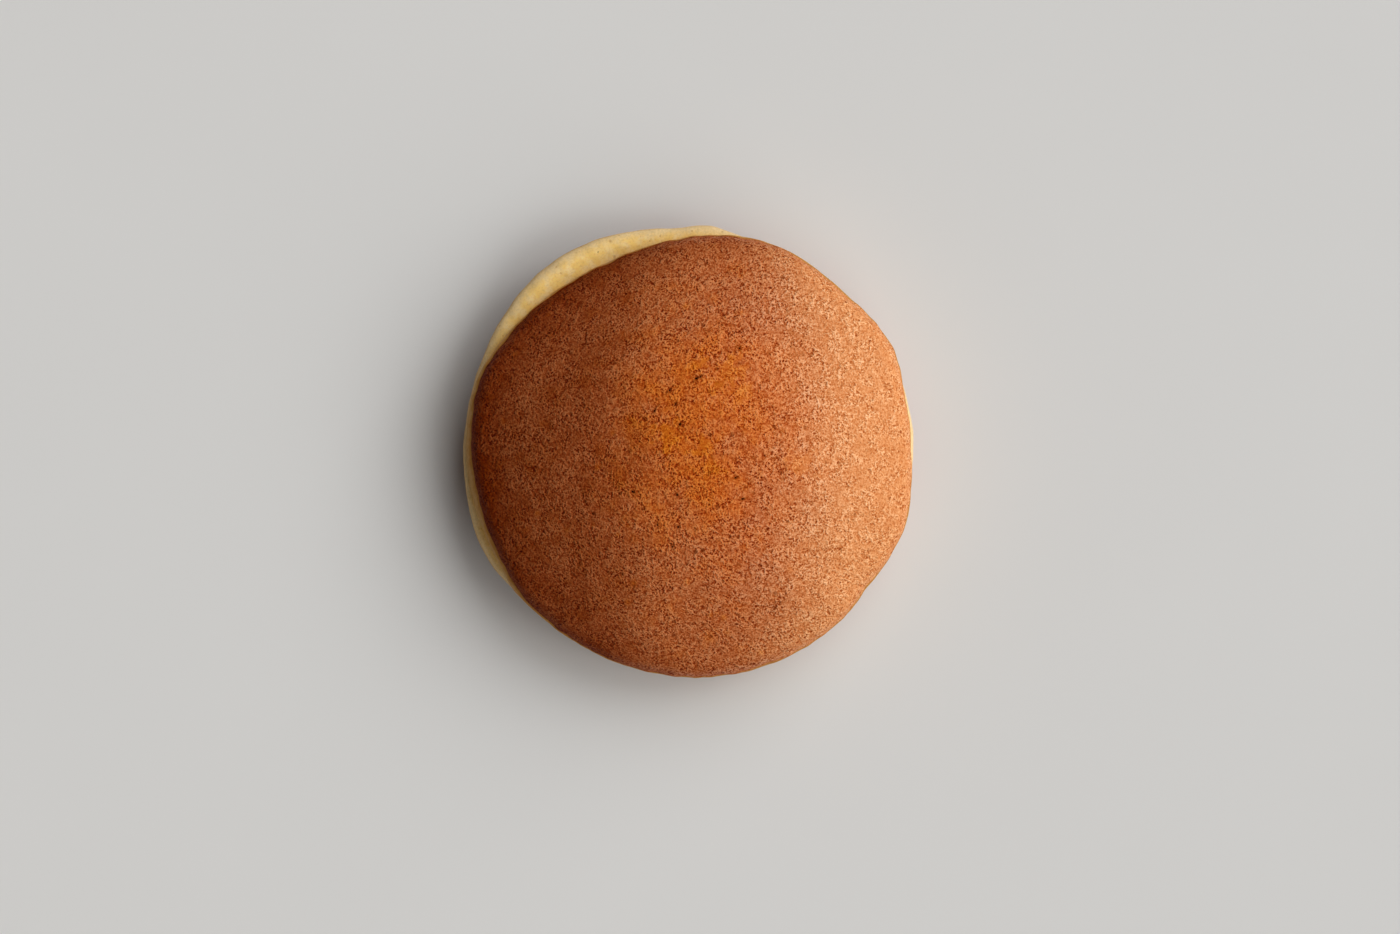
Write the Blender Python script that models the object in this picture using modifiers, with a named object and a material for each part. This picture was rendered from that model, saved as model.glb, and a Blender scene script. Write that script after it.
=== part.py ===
"""A whole dorayaki: two round griddle cakes, the upper one laid a little off centre on the lower.

Metres, +Z up. The cake rests on Z = 0, and the origin is under the middle of its box.
Each cake is a turned profile whose rim is then made as uneven as a hand-poured cake.
"""

import math

import bmesh
import bpy
from mathutils import Matrix, Vector

MM = 0.001

# Driving dimensions
SEAM_HEIGHT = 12.0 * MM  # upper face of the lower cake, where the other lies on it
SEAM_GAP = 0.3 * MM  # free space between the two cakes
TURN_STEPS = 96
SEAM_FACE_RINGS = 5

UPPER_RADIUS = 45.9 * MM
UPPER_CENTRE = Vector((1.0, -1.3, 0.0)) * MM
UPPER_CRUST_INSET = 0.5 * MM  # where the pale wall turns into crust
UPPER_CRUST_HEIGHT = 16.3 * MM
UPPER_WIDEST_HEIGHT = 14.0 * MM
# Inset from the radius, and height, down the pale wall to the lip
UPPER_WALL = (
    (0.1 * MM, 15.2 * MM),
    (0.0, UPPER_WIDEST_HEIGHT),
    (0.35 * MM, 12.9 * MM),
    (1.4 * MM, SEAM_HEIGHT + SEAM_GAP),
)
SHOULDER_RADIUS = 5.0 * MM  # rounding between the dome and the wall
SHOULDER_STEEPEST = math.radians(82.0)
SHOULDER_RINGS = 4
DOME_EDGE_SLOPE = math.radians(32.0)
DOME_RINGS = 9

LOWER_RADIUS = 47.0 * MM
LOWER_CENTRE = Vector((-0.4, 0.1, 0.0)) * MM
# Inset from the radius, and height, from the lip down the pale wall
LOWER_WALL = (
    (2.4 * MM, SEAM_HEIGHT),
    (0.9 * MM, 11.55 * MM),
    (0.15 * MM, 10.8 * MM),
    (0.0, 9.9 * MM),
    (0.3 * MM, 8.5 * MM),
)
LOWER_CRUST_INSET = 1.0 * MM
LOWER_CRUST_HEIGHT = 7.3 * MM
UNDER_RADIUS = 4.0 * MM  # rounding between the lower cake's wall and its underside
UNDER_STEEPEST = math.radians(70.0)
UNDER_EDGE_SLOPE = math.radians(31.0)
UNDER_RINGS = 6

# Bulges and flats of each rim: bearing from +X and half width in degrees, and height
UPPER_SWELLS = (
    (31, 13, 2.0 * MM),
    (70, 26, 2.4 * MM),
    (117, 22, -0.7 * MM),
    (159, 6, 0.5 * MM),
    (164, 28, 2.2 * MM),
    (216, 6, 0.6 * MM),
    (248, 24, -0.4 * MM),
    (323, 5, -0.7 * MM),
    (344, 9, 0.8 * MM),
)
LOWER_SWELLS = (
    (10, 26, 1.0 * MM),
    (52, 6, 0.4 * MM),
    (84, 6, 1.1 * MM),
    (124, 26, 2.3 * MM),
    (207, 15, 1.1 * MM),
    (236, 28, -1.8 * MM),
)
# Where the upper cake's crust draws back from its spreading wall
CRUST_DRAWN_BACK = ((186, 32, 0.8 * MM),)
# Where the upper cake's lip lifts clear of the lower cake
LIP_LIFTS = ((62, 16, 0.5 * MM), (262, 22, 0.6 * MM), (335, 14, 0.4 * MM))
# Where the upper cake sags, so that its crust comes down close to the lip
CRUST_SAGS = ((118, 40, 2.9 * MM), (265, 34, 1.2 * MM))
CRUST_SAG_REACH = (0.5, 1.0)  # shares of the radius between which a sag grows to its full depth
# Where the lower cake's rim curls up, outside the shares of its radius that the upper cake covers
RIM_CURLS = ((122, 18, 1.3 * MM),)
RIM_CURL_REACH = (0.89, 0.97)
# Up and down of the whole rim: waves in a turn, phase in degrees, and height
RIM_WAVES = ((1, -30, 1.4 * MM), (2, 40, 0.45 * MM), (3, 200, 0.3 * MM), (7, 95, 0.1 * MM))
RIM_WAVE_FADE = 3.0  # power of the radius with which the waves fade towards the middle
RIM_WAVE_START = 3.0 * MM  # the foot stays flat up to here
RIM_WAVE_FULL = 8.0 * MM

CRUST_COLOUR = (0.46, 0.16, 0.045, 1.0)
CRUMB_COLOUR = (0.78, 0.56, 0.27, 1.0)


def smoothstep(low, high, value):
    """0 below low, 1 above high, and a smooth rise between them."""
    share = min(max((value - low) / (high - low), 0.0), 1.0)
    return share * share * (3.0 - 2.0 * share)


def swell(bearing, swells):
    """Sum of the swells at a bearing in radians. Each dies away past its half width."""
    total = 0.0
    for middle, half_width, height in swells:
        away = (math.degrees(bearing) - middle + 180.0) % 360.0 - 180.0
        total += height * math.exp(-((away / half_width) ** 2))
    return total


def rim_wave(x, y):
    """Height that the rim waves add at a place, the same for both cakes."""
    bearing = math.atan2(y, x)
    reach = (math.hypot(x, y) / LOWER_RADIUS) ** RIM_WAVE_FADE
    waves = sum(h * math.sin(n * bearing + math.radians(p)) for n, p, h in RIM_WAVES)
    return reach * waves


def arc(start, radius, from_slope, to_slope, count, down):
    """Points (radius, height) after start along a rounding, between two slopes in radians.

    It runs outwards and down, or, where down is False, outwards and up.
    """
    points = []
    for i in range(1, count + 1):
        slope = from_slope + (to_slope - from_slope) * i / count
        out = radius * (math.sin(slope) - math.sin(from_slope))
        drop = radius * (math.cos(from_slope) - math.cos(slope))
        points.append((start[0] + out, start[1] - drop if down else start[1] + drop))
    return points


def seam_face(edge_radius, height):
    """Points of a flat face between the two cakes, from its edge to the middle.

    Its rings stand closer near the edge, where the rim waves bend the face.
    """
    shares = [(1.0 - (i / SEAM_FACE_RINGS) ** 1.5) for i in range(1, SEAM_FACE_RINGS + 1)]
    return [(edge_radius * share, height) for share in shares]


def upper_profile():
    """Profile of the upper cake: crown, dome, shoulder, pale wall, lip and underside."""
    crust_radius = UPPER_RADIUS - UPPER_CRUST_INSET
    across = SHOULDER_RADIUS * (math.sin(SHOULDER_STEEPEST) - math.sin(DOME_EDGE_SLOPE))
    drop = SHOULDER_RADIUS * (math.cos(DOME_EDGE_SLOPE) - math.cos(SHOULDER_STEEPEST))
    dome_radius = crust_radius - across
    dome_foot = UPPER_CRUST_HEIGHT + drop
    dome_rise = math.tan(DOME_EDGE_SLOPE) * dome_radius / 2.0

    dome = []
    for i in range(DOME_RINGS + 1):
        share = i / DOME_RINGS
        dome.append((dome_radius * share, dome_foot + dome_rise * (1.0 - share**2)))
    shoulder = arc(
        dome[-1], SHOULDER_RADIUS, DOME_EDGE_SLOPE, SHOULDER_STEEPEST, SHOULDER_RINGS, True
    )
    wall = [(UPPER_RADIUS - inset, height) for inset, height in UPPER_WALL]
    return dome + shoulder + wall + seam_face(*wall[-1])


def lower_profile():
    """Profile of the lower cake: upper face, lip, pale wall, crusty underside and flat foot.

    The underside curves up from the foot and reaches the rounding at its slope.
    """
    crust_radius = LOWER_RADIUS - LOWER_CRUST_INSET
    across = UNDER_RADIUS * (math.sin(UNDER_STEEPEST) - math.sin(UNDER_EDGE_SLOPE))
    rise = UNDER_RADIUS * (math.cos(UNDER_EDGE_SLOPE) - math.cos(UNDER_STEEPEST))
    bowl_radius = crust_radius - across
    bowl_height = LOWER_CRUST_HEIGHT - rise
    foot_radius = bowl_radius - 2.0 * bowl_height / math.tan(UNDER_EDGE_SLOPE)

    wall = [(LOWER_RADIUS - inset, height) for inset, height in LOWER_WALL]
    face = seam_face(*wall[0])[::-1]
    bowl = []
    for i in range(UNDER_RINGS + 1):
        share = i / UNDER_RINGS
        radius = foot_radius + (bowl_radius - foot_radius) * share
        bowl.append((radius, bowl_height * share**2))
    rounding = arc(
        bowl[-1], UNDER_RADIUS, UNDER_EDGE_SLOPE, UNDER_STEEPEST, SHOULDER_RINGS, False
    )
    middle_of_foot = [(0.0, 0.0)]
    return face + wall + (bowl + rounding)[::-1] + middle_of_foot


def turned(profile):
    """Mesh of a profile turned about Z. The profile runs from the top down its outer side."""
    outline = bpy.data.meshes.new("profile")
    shape = bmesh.new()
    points = [shape.verts.new((radius, 0.0, height)) for radius, height in profile]
    for above, below in zip(points, points[1:]):
        shape.edges.new((above, below))
    shape.to_mesh(outline)
    shape.free()
    guide = bpy.data.objects.new("profile", outline)
    bpy.context.scene.collection.objects.link(guide)
    screw = guide.modifiers.new("Turn", "SCREW")
    screw.axis = "Z"
    screw.angle = math.tau
    screw.steps = screw.render_steps = TURN_STEPS
    screw.use_merge_vertices = True
    screw.merge_threshold = 0.01 * MM
    graph = bpy.context.evaluated_depsgraph_get()
    mesh = bpy.data.meshes.new_from_object(guide.evaluated_get(graph))
    bpy.data.objects.remove(guide)
    return mesh


def make_uneven(
    mesh, radius, centre, swells, drawn_back=(), lip_lifts=(), sags=(), curls=()
):
    """Moves a turned cake's points to its uneven rim, then to its place.

    The swells fade towards the middle, the crust above the wall draws back, the lip lifts, the
    crust sags towards the lip, and the rim curls up.
    """
    for point in mesh.vertices:
        x, y, height = point.co
        reach = math.hypot(x, y) / radius
        bearing = math.atan2(y, x)
        growth = 1.0 + swell(bearing, swells) / radius * reach**2
        above_wall = smoothstep(UPPER_WIDEST_HEIGHT, UPPER_CRUST_HEIGHT, height)
        back = swell(bearing, drawn_back) * above_wall * reach
        growth -= back / radius
        near_lip = smoothstep(0.9, 1.0, reach)
        near_lip *= 1.0 - smoothstep(SEAM_HEIGHT, UPPER_WIDEST_HEIGHT, height)
        above_lip = smoothstep(SEAM_HEIGHT + SEAM_GAP, UPPER_CRUST_HEIGHT, height)
        height += swell(bearing, lip_lifts) * near_lip
        height -= swell(bearing, sags) * above_lip * smoothstep(*CRUST_SAG_REACH, reach)
        above_foot = smoothstep(RIM_WAVE_START, RIM_WAVE_FULL, height)
        height += swell(bearing, curls) * above_foot * smoothstep(*RIM_CURL_REACH, reach)
        x = x * growth + centre.x
        y = y * growth + centre.y
        height += rim_wave(x, y) * smoothstep(RIM_WAVE_START, RIM_WAVE_FULL, height)
        point.co = (x, y, height)


def principled(name, colour, roughness):
    """Plain material of a cake's crust or crumb."""
    material = bpy.data.materials.new(name)
    material.use_nodes = True
    shader = material.node_tree.nodes["Principled BSDF"]
    shader.inputs["Base Color"].default_value = colour
    shader.inputs["Roughness"].default_value = roughness
    shader.inputs["Metallic"].default_value = 0.0
    material.diffuse_color = colour
    return material


def cake(name, mesh, collection, is_crust):
    """Object of one cake. Faces whose middle height passes is_crust wear the crust."""
    mesh.name = name
    mesh.materials.append(principled(name + "_crust", CRUST_COLOUR, 0.5))
    mesh.materials.append(principled(name + "_crumb", CRUMB_COLOUR, 0.85))
    for face in mesh.polygons:
        face.material_index = 0 if is_crust(face.center.z) else 1
    mesh.shade_smooth()
    obj = bpy.data.objects.new(name, mesh)
    collection.objects.link(obj)
    return obj


def centre_box_on_origin(objects):
    """Moves the points of all objects together, until their box is centred on X = Y = 0."""
    places = [point.co for obj in objects for point in obj.data.vertices]
    middle_x = (min(p.x for p in places) + max(p.x for p in places)) / 2.0
    middle_y = (min(p.y for p in places) + max(p.y for p in places)) / 2.0
    for obj in objects:
        obj.data.transform(Matrix.Translation((-middle_x, -middle_y, 0.0)))


def clear_scene():
    """Removes every object of the startup scene."""
    for obj in list(bpy.data.objects):
        bpy.data.objects.remove(obj)


def main():
    clear_scene()
    collection = bpy.data.collections.new("dorayaki")
    bpy.context.scene.collection.children.link(collection)

    lower_mesh = turned(lower_profile())
    make_uneven(lower_mesh, LOWER_RADIUS, LOWER_CENTRE, LOWER_SWELLS, curls=RIM_CURLS)
    lower = cake("lower_cake", lower_mesh, collection, lambda z: z < LOWER_CRUST_HEIGHT)

    upper_mesh = turned(upper_profile())
    make_uneven(
        upper_mesh,
        UPPER_RADIUS,
        UPPER_CENTRE,
        UPPER_SWELLS,
        drawn_back=CRUST_DRAWN_BACK,
        lip_lifts=LIP_LIFTS,
        sags=CRUST_SAGS,
    )
    upper = cake("upper_cake", upper_mesh, collection, lambda z: z > UPPER_CRUST_HEIGHT)
    centre_box_on_origin((lower, upper))


main()
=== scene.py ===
"""Looks of a dorayaki: two soft griddle cakes, the upper one laid browned side up on its pale partner.

Each cake starts as a fine square grid that is spread into a disc, and grows its wall, lip and seam
face ring by ring. Its points are then laid on the cake's turned and uneven outline, with the
undulations, grain, pits and pinholes of a griddle crust as real relief.
"""

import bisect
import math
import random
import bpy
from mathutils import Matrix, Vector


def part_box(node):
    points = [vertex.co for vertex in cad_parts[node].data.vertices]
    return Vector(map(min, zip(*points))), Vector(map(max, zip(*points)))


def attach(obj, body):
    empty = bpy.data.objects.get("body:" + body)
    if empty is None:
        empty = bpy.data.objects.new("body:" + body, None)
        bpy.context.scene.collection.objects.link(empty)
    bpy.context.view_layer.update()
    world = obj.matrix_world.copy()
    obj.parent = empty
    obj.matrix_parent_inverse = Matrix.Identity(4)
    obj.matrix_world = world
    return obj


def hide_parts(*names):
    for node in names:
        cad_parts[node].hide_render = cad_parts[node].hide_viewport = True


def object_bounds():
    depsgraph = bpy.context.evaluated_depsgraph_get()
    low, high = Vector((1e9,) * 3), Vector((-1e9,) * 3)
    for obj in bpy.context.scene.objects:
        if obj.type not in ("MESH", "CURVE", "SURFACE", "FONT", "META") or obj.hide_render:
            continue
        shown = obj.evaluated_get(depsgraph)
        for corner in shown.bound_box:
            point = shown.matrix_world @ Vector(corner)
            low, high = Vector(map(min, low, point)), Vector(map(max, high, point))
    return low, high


bl_info = {
    "name": "Dorayaki",
    "version": (1, 0, 0),
    "blender": (4, 5, 0),
    "location": "3D View > Sidebar > Dorayaki",
    "description": "Models the two griddle cakes of a dorayaki and the stage they are shown on",
    "category": "Mesh",
}

from dataclasses import dataclass

import bmesh
import bpy
from bpy.props import FloatProperty, FloatVectorProperty, IntProperty, PointerProperty
from mathutils import Matrix, Vector, geometry, noise
from mathutils.kdtree import KDTree

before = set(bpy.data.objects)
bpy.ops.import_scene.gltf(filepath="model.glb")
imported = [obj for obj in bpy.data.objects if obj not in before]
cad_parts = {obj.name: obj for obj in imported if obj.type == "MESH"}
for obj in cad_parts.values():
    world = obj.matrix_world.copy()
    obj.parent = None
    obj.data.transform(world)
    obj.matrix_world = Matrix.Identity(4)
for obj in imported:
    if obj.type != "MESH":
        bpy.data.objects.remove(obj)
CAD_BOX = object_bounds()

MM = 0.001

# ---- the cakes' outlines

SEAM_HEIGHT = 12.0 * MM
SEAM_GAP = 0.3 * MM

UPPER_RADIUS = 45.9 * MM
UPPER_CENTRE = Vector((1.0, -1.3, 0.0)) * MM
UPPER_CRUST_INSET = 0.5 * MM
UPPER_CRUST_HEIGHT = 16.3 * MM
UPPER_WIDEST_HEIGHT = 14.0 * MM
# Inset from the radius, and height, down the pale wall to the lip
UPPER_WALL = (
    (0.1 * MM, 15.2 * MM),
    (0.0, UPPER_WIDEST_HEIGHT),
    (0.35 * MM, 12.9 * MM),
    (1.4 * MM, SEAM_HEIGHT + SEAM_GAP),
)
SHOULDER_RADIUS = 5.0 * MM
SHOULDER_STEEPEST = math.radians(82.0)
DOME_EDGE_SLOPE = math.radians(32.0)

LOWER_RADIUS = 47.0 * MM
LOWER_CENTRE = Vector((-0.4, 0.1, 0.0)) * MM
# Inset from the radius, and height, up the pale wall to the lip
LOWER_WALL = (
    (0.3 * MM, 8.5 * MM),
    (0.0, 9.9 * MM),
    (0.15 * MM, 10.8 * MM),
    (0.9 * MM, 11.55 * MM),
    (2.4 * MM, SEAM_HEIGHT),
)
LOWER_CRUST_INSET = 1.0 * MM
LOWER_CRUST_HEIGHT = 7.3 * MM
UNDER_RADIUS = 4.0 * MM
UNDER_STEEPEST = math.radians(70.0)
UNDER_EDGE_SLOPE = math.radians(31.0)

# Bulges and flats of each rim: bearing from +X and half width in degrees, and height
UPPER_SWELLS = (
    (31, 13, 2.0 * MM),
    (70, 26, 2.4 * MM),
    (117, 22, -0.7 * MM),
    (159, 6, 0.5 * MM),
    (164, 28, 2.2 * MM),
    (216, 6, 0.6 * MM),
    (248, 24, -0.4 * MM),
    (323, 5, -0.7 * MM),
    (344, 9, 0.8 * MM),
)
LOWER_SWELLS = (
    (10, 26, 1.0 * MM),
    (52, 6, 0.4 * MM),
    (84, 6, 1.1 * MM),
    (124, 26, 2.3 * MM),
    (207, 15, 1.1 * MM),
    (236, 28, -1.8 * MM),
)
CRUST_DRAWN_BACK = ((186, 32, 0.8 * MM),)
LIP_LIFTS = ((62, 16, 0.5 * MM), (262, 22, 0.6 * MM), (335, 14, 0.4 * MM))
# Where the upper cake sags, so that its crust comes down close to the lip
CRUST_SAGS = ((118, 40, 2.9 * MM), (265, 34, 1.2 * MM))
CRUST_SAG_REACH = (0.5, 1.0)
# Where the lower cake's rim curls up, outside the shares of its radius that the upper cake covers
RIM_CURLS = ((122, 18, 1.3 * MM),)
RIM_CURL_REACH = (0.89, 0.97)
# Up and down of the whole rim: waves in a turn, phase in degrees, and height
RIM_WAVES = ((1, -30, 1.4 * MM), (2, 40, 0.45 * MM), (3, 200, 0.3 * MM), (7, 95, 0.1 * MM))
RIM_WAVE_FADE = 3.0
RIM_WAVE_START = 3.0 * MM
RIM_WAVE_FULL = 8.0 * MM
LIP_REACH = (0.9, 1.0)  # shares of the radius between which the lip's lift grows
LIP_WIDTH = 2.5 * MM  # way in from the lip to where the seam face is flat
FACE_INNER_RADIUS = 35.0 * MM

# Points along the parts of an outline, and around it
DOME_STEPS = 120
BOWL_STEPS = 60
ROUNDING_STEPS = 24
CURVE_STEPS = 14
NORMAL_STEP = 0.25 * MM
TURN_STEPS = 720
WALL_STEPS = 50
WALL_STEP = 0.1 * MM

# ---- marks of the griddle

# Pinholes that steam has blown through the crust: place and width in millimetres
PINHOLES = (
    (1.6, 15.0, 0.46),
    (2.6, 15.1, 0.3),
    (-3.8, 12.6, 0.38),
    (-7.0, 8.2, 0.34),
    (-1.7, 5.5, 0.4),
    (-2.7, 9.5, 0.3),
    (9.6, -5.4, 0.32),
    (10.9, -9.9, 0.42),
    (-2.3, -9.2, 0.38),
    (-11.3, -8.4, 0.42),
    (-2.1, -15.4, 0.38),
    (-6.4, -15.3, 0.28),
    (10.6, 21.2, 0.3),
    (-3.4, -19.6, 0.28),
    (-19.5, -12.9, 0.28),
)
# Smooth patches where sugar has melted: place and radius in millimetres
GLASSY_PATCHES = (
    (9.2, 16.6, 2.6),
    (11.0, 12.0, 2.2),
    (6.0, 13.6, 2.0),
    (2.4, 18.0, 1.8),
    (3.6, 0.8, 2.0),
    (-4.2, 2.8, 2.6),
    (23.0, -2.0, 2.4),
    (5.0, -3.5, 2.0),
)
# Ring left by a burst bubble: place, radius and width in millimetres
RING_MARK = (18.0, -3.6, 2.9, 0.9)
# Shallow scars: place, length and turn in millimetres and degrees
SCARS = ((25.3, 20.7, 1.8, 50), (14.8, 14.4, 1.3, 60), (30.0, 8.0, 1.2, 30))
# Folds that run along the rim: bearing, half width, way in from the crust's edge, and depth
RIM_FOLDS = (
    (-4, 9, 4.6, 0.10),
    (3, 12, 2.6, 0.12),
    (16, 8, 3.4, 0.07),
    (186, 22, 1.8, 0.10),
    (250, 16, 2.4, 0.08),
    (120, 20, 1.6, 0.08),
)
# How far the upper crust's colour reaches down over the wall, in millimetres
CRUST_OVERLAP = 0.9
# The one open pore in the lower cake's pale rim, only painted shade: place and half width in
# millimetres, and least height
CRUMB_PORE = (-19.0, 41.8, 0.5)
CRUMB_PORE_FLOOR = SEAM_HEIGHT / MM - 3.0
# Where fine streaks run along the rim: bearing and half width in degrees, and depth
STREAKED_RIM = ((0, 20, 0.10), (186, 30, 0.06), (250, 18, 0.06))
# Ways in from the crust's edge between which the streaks set in, and die away
STREAKS_START = (0.3, 1.5)
STREAKS_END = (3.5, 8.0)
# Where the rim is darkest, from real browning and, most on the side away from the light, painted
# shade: bearing and half width in degrees, and how much
TOASTED_RIM = ((176, 70, 0.5), (95, 32, 0.3), (268, 30, 0.15))
TOASTED_RIM_WIDTH = 15.0
# How much painted shade darkens the half away from the light, and where along X this dies away
TOASTED_SIDE = 0.56
TOASTED_SIDE_END = (-24.0, 2.0)
# Middle of the warm orange clouds, and the distances between which they die away
WARM_MIDDLE = (8.0, 3.0)
WARM_END = (8.0, 34.0)
WARM_STRENGTH = 0.9
WARM_CLOUD_STRENGTH = 0.35
UNDERSIDE_WARMTH = 0.15
FOLD_WARMTH = 3.0
# Where along X painted light makes the crust pale and golden, on the side toward the light, and how
# its front bows round the middle
GOLD_START = (9.0, 40.0)
GOLD_BOW = 0.2
GOLD_BOW_RADIUS = 26.0

# ---- relief, in millimetres

# Layers of noise: size of the lumps, shift of the pattern, and height
WIDE_WAVES = ((11.0, 0.0, 0.16), (4.5, 8.0, 0.06))
GRAIN = ((1.25, 1.0, 0.7), (0.8, 7.0, 0.5))
WAVY_EDGE = ((7.0, 3.0, 0.35), (2.2, 5.0, 0.18))
EDGE_NIBBLES = ((2.6, 15.0, 0.3),)
WALL_LUMPS = ((5.0, 9.0, 0.16), (1.9, 3.0, 0.07))
RAGGED_PATCH = ((1.9, 4.0, 1.0), (0.8, 2.0, 0.9))
WARM_CLOUDS = ((9.0, 2.0, 0.7), (4.0, 6.0, 0.5))
GOLD_CLOUDS = ((8.0, 11.0, 2.5),)
# Noise on the edge of the painted shade over the half away from the light
TOAST_CLOUDS = ((7.0, 0.0, 2.0),)
# Noise drawn out along the rim: length and width of the streaks, and shift of the pattern
RIM_STREAKS = (4.5, 0.8, 6.0)
WALL_CREASES = (5.0, 0.55, 12.0)
CREASE_DEPTH = 0.05
# Dents strewn over a crust: seed, and least and most of their widths and depths
PITS = (11, (0.25, 0.42), (0.04, 0.12))
SPOTS = (23, (0.35, 0.75), (0.3, 0.75))
# Pits are darkened by their depth, as painted shade.
PIT_FULL_DEPTH = 0.13  # depth at which a pit is darkest
PIT_SHADE = 0.6
EDGE_BLEND = 0.4  # half width of the change from wall to crust
NIBBLE_PLACE = (0.4, 1.6)  # way in from the edge, and half width
RIM_GRAIN = 0.45  # share of the grain that is left at the crust's edge
RIM_GRAIN_END = (0.5, 9.0)
GLASS_CALM = 0.75  # share of the grain that a melted patch smooths away
GLASS_FADE = (0.35, 1.25)  # shares of a patch's radius
SCAR_HALF_WIDTH = 0.34
SCAR_DEPTH = 0.16
FOLD_HALF_WIDTH = 0.45
RING_HEIGHT = 0.09
RING_HOLLOW_DEPTH = 0.08
RING_HOLLOW_SHARE = 0.6  # share of the ring's radius

# ---- smooth shape of a cake


def smoothstep(low, high, value):
    """0 below low, 1 above high, and a smooth rise between them."""
    share = min(max((value - low) / (high - low), 0.0), 1.0)
    return share * share * (3.0 - 2.0 * share)


def bump(away):
    """1 at 0, and a smooth fall to nearly nothing at 2."""
    return math.exp(-away * away)


def degrees_away(bearing, middle):
    """Signed way in degrees from a middle in degrees to a bearing in radians."""
    return (math.degrees(bearing) - middle + 180.0) % 360.0 - 180.0


def swell(bearing, swells):
    """Sum of the swells at a bearing in radians. Each dies away past its half width."""
    total = 0.0
    for middle, half_width, height in swells:
        total += height * bump(degrees_away(bearing, middle) / half_width)
    return total


def rim_wave(x, y):
    """Height that the rim waves add at a place, the same for both cakes."""
    bearing = math.atan2(y, x)
    reach = (math.hypot(x, y) / LOWER_RADIUS) ** RIM_WAVE_FADE
    waves = sum(h * math.sin(n * bearing + math.radians(p)) for n, p, h in RIM_WAVES)
    return reach * waves


def even_shares(count):
    """Even steps from 0 to 1."""
    return [i / count for i in range(count + 1)]


def rounding(radius, from_slope, to_slope):
    """Width and height of a rounding between two slopes."""
    width = radius * (math.sin(to_slope) - math.sin(from_slope))
    return width, radius * (math.cos(from_slope) - math.cos(to_slope))


def arc(start, radius, from_slope, to_slope, rising):
    """Points after start along a rounding between two slopes, outwards and up or down."""
    points = []
    sign = 1.0 if rising else -1.0
    for share in even_shares(ROUNDING_STEPS)[1:]:
        slope = from_slope + (to_slope - from_slope) * share
        out, climb = rounding(radius, from_slope, slope)
        points.append((start[0] + out, start[1] + sign * climb))
    return points


def curve_through(points):
    """Points along a smooth curve through the inner points. The first and last only aim it."""
    smooth = []
    for before, start, end, after in zip(points, points[1:], points[2:], points[3:]):
        before, start, end, after = (Vector((*p, 0.0)) for p in (before, start, end, after))
        handle_out = start + (end - before) / 6.0
        handle_in = end - (after - start) / 6.0
        stretch = geometry.interpolate_bezier(start, handle_out, handle_in, end, CURVE_STEPS)
        smooth += [(p.x, p.y) for p in stretch[:-1]]
    return smooth


def upper_outline():
    """Profile of the upper cake from its crown outwards, and the length that is crust."""
    crust_radius = UPPER_RADIUS - UPPER_CRUST_INSET
    across, drop = rounding(SHOULDER_RADIUS, DOME_EDGE_SLOPE, SHOULDER_STEEPEST)
    dome_radius = crust_radius - across
    dome_foot = UPPER_CRUST_HEIGHT + drop
    dome_rise = math.tan(DOME_EDGE_SLOPE) * dome_radius / 2.0
    shares = even_shares(DOME_STEPS)
    dome = [(dome_radius * s, dome_foot + dome_rise * (1.0 - s**2)) for s in shares]
    crust = dome + arc(dome[-1], SHOULDER_RADIUS, DOME_EDGE_SLOPE, SHOULDER_STEEPEST, False)
    wall = [(UPPER_RADIUS - inset, height) for inset, height in UPPER_WALL]
    return Profile(crust, wall, 1.0)


def lower_outline():
    """Profile of the lower cake from the middle of its foot outwards, and its crust's length."""
    crust_radius = LOWER_RADIUS - LOWER_CRUST_INSET
    across, rise = rounding(UNDER_RADIUS, UNDER_EDGE_SLOPE, UNDER_STEEPEST)
    bowl_radius = crust_radius - across
    bowl_height = LOWER_CRUST_HEIGHT - rise
    foot_radius = bowl_radius - 2.0 * bowl_height / math.tan(UNDER_EDGE_SLOPE)
    shares = even_shares(BOWL_STEPS)
    bowl = [(foot_radius + (bowl_radius - foot_radius) * s, bowl_height * s**2) for s in shares]
    crust = [(0.0, 0.0)] + bowl
    crust += arc(bowl[-1], UNDER_RADIUS, UNDER_EDGE_SLOPE, UNDER_STEEPEST, True)
    wall = [(LOWER_RADIUS - inset, height) for inset, height in LOWER_WALL]
    return Profile(crust, wall, -1.0)


class Profile:
    """Half outline of a cake, walked by its length from the pole of the crust to the seam face.

    Facing is 1 where the crust's pole is on top and -1 where it is underneath.
    """

    def __init__(self, crust, wall, facing):
        lip_radius, seam_height = wall[-1]
        inner = [(lip_radius - LIP_WIDTH, seam_height), (FACE_INNER_RADIUS, seam_height)]
        aimed = [crust[-2], crust[-1], *wall, *inner, (0.0, seam_height)]
        self.facing = facing
        self.points = crust[:-1] + curve_through(aimed) + [inner[-1]]
        self.lengths = [0.0]
        for start, end in zip(self.points, self.points[1:]):
            self.lengths.append(self.lengths[-1] + math.dist(start, end))
        self.crust_length = self.lengths[len(crust) - 1]
        self.total_length = self.lengths[-1]

    def at(self, walk):
        """Radius and height at a length from the pole."""
        walk = min(max(walk, 0.0), self.total_length)
        i = min(bisect.bisect_right(self.lengths, walk), len(self.points) - 1)
        start, end = self.points[i - 1], self.points[i]
        share = (walk - self.lengths[i - 1]) / (self.lengths[i] - self.lengths[i - 1])
        return start[0] + (end[0] - start[0]) * share, start[1] + (end[1] - start[1]) * share

    def normal(self, walk):
        """Outward direction (radial, upward) at a length from the pole."""
        before, after = self.at(walk - NORMAL_STEP), self.at(walk + NORMAL_STEP)
        out, up = after[0] - before[0], after[1] - before[1]
        length = math.hypot(out, up)
        return -up * self.facing / length, out * self.facing / length


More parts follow.
